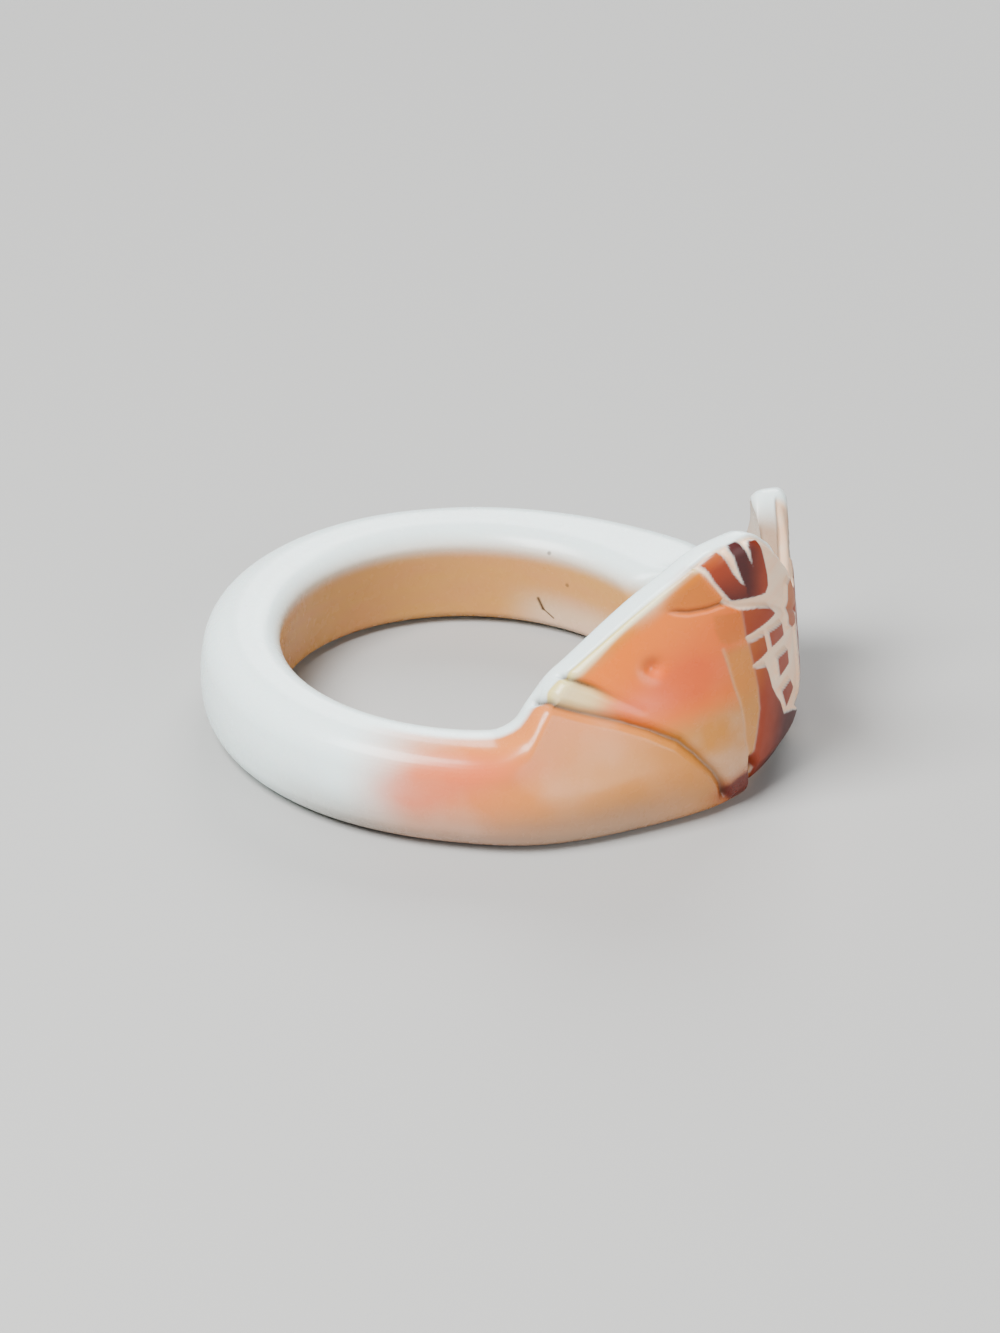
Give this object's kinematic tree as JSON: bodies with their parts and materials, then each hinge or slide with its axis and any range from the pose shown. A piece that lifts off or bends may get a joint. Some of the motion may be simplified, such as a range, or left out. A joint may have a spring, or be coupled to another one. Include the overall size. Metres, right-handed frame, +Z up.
{
  "type": "finger ring",
  "caption": "Shell finger ring that widens into a carved fish with cut scales, a raised fan-shaped fin and an upturned tail.",
  "frame": {"origin": "centre of the finger hole, halfway up the band", "axes": "+Z along the finger hole towards the raised fin, +X out through the middle of the carved fish, -Y towards its head; the ring lies on its flat side with +Z up"},
  "size_m": [0.027, 0.0249, 0.0132],
  "materials": {
    "shell": "gloss"
  },
  "bodies": {
    "root": {"shell_ring": "shell"}
  },
  "joints": []
}
